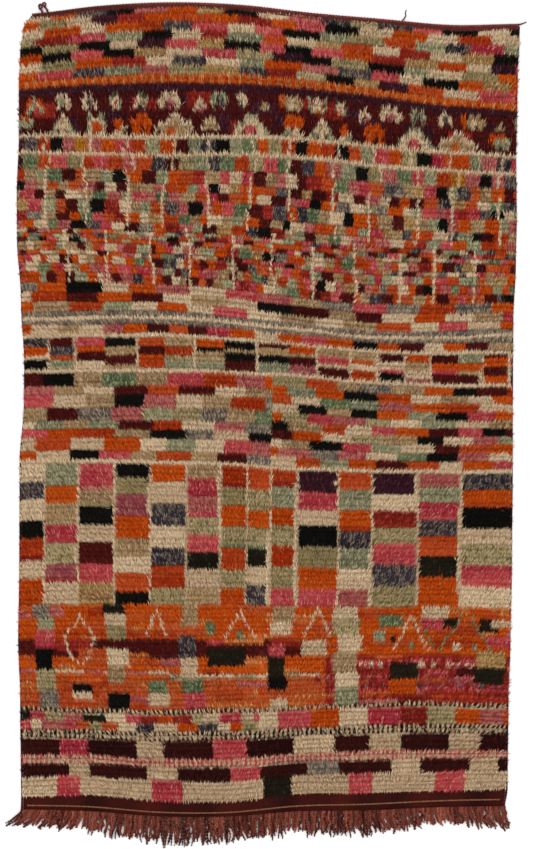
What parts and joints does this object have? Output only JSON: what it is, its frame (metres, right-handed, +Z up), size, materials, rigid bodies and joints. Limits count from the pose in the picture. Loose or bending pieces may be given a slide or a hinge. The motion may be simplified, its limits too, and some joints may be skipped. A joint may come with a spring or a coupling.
{
  "type": "moroccan rug",
  "caption": "Hand-knotted wool rug with a shaggy pile in bands of coloured blocks, overcast sides, a twisted top cord and a fringe at one end, lying flat.",
  "frame": {"origin": "on the floor, under the middle of the rug's outline", "axes": "+X across the rug, +Y along its length towards the twisted top cord, +Z up from the floor"},
  "size_m": [1.8112, 2.9676, 0.0157],
  "materials": {
    "rug_wool": "hand-spun wool pile, matt, in blocks of many dyed colours",
    "selvedge_wool": "overcast purple-brown wool, matt",
    "cord_wool": "twisted dark red wool, matt",
    "fringe_wool": "loose twisted red-brown wool, matt"
  },
  "bodies": {
    "root": {"field": "rug_wool", "selvedge_left": "selvedge_wool", "selvedge_right": "selvedge_wool", "top_cord": "cord_wool", "fringe": "fringe_wool"}
  },
  "joints": []
}
